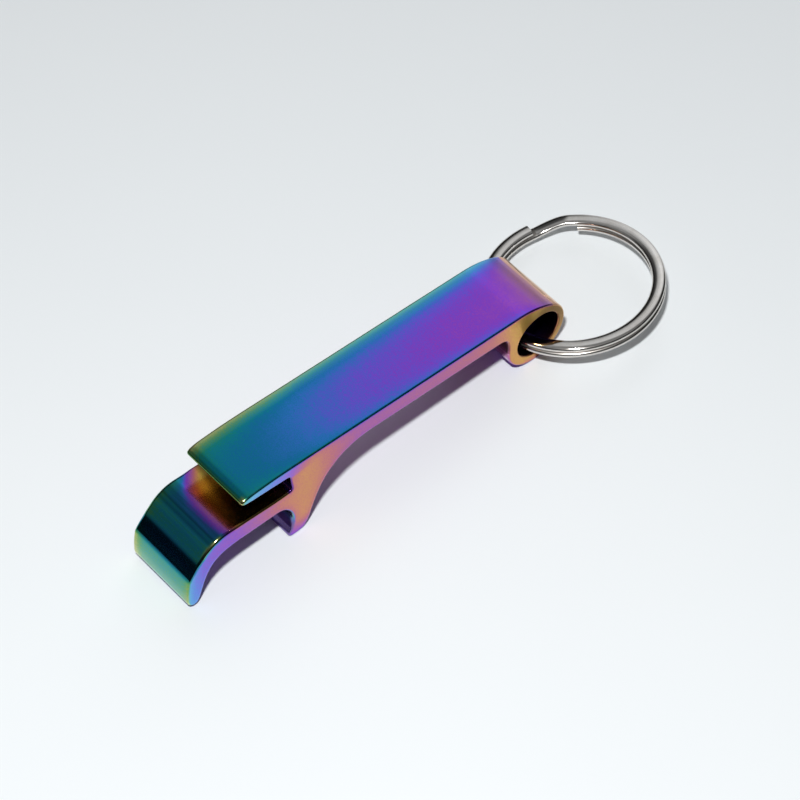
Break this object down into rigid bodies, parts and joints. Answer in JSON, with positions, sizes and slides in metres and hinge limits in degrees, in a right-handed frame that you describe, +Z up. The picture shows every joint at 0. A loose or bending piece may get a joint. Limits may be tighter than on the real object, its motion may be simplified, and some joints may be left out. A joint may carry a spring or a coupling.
{
  "type": "keychain bottle opener",
  "caption": "Short extruded metal bottle opener with a lipped slot, hooked nose, cap claw and rolled eye, carrying a two-turn split ring that swings through the eye.",
  "frame": {"origin": "middle of the footprint, on the table that the claw's foot and the eye rest on", "axes": "+X from the hooked nose to the ring, along the opener's length; +Y along the extrusion, through the eye; +Z up"},
  "size_m": [0.0824, 0.025, 0.0148],
  "materials": {
    "coated_metal": "thin iridescent vapour-deposited film over satin metal, running teal, blue, violet, magenta and gold",
    "ring_steel": "nickel-plated spring steel, bright with fine drawn lines"
  },
  "bodies": {
    "opener": {"opener_body": "coated_metal"},
    "ring": {"split_ring": "ring_steel"}
  },
  "joints": [
    {"name": "ring_swing", "type": "hinge", "parent": "opener", "child": "ring", "pos_m": [0.0189, 0.0019, 0.00505], "axis": [0, 1, 0], "range_deg": [-150, 170]}
  ]
}
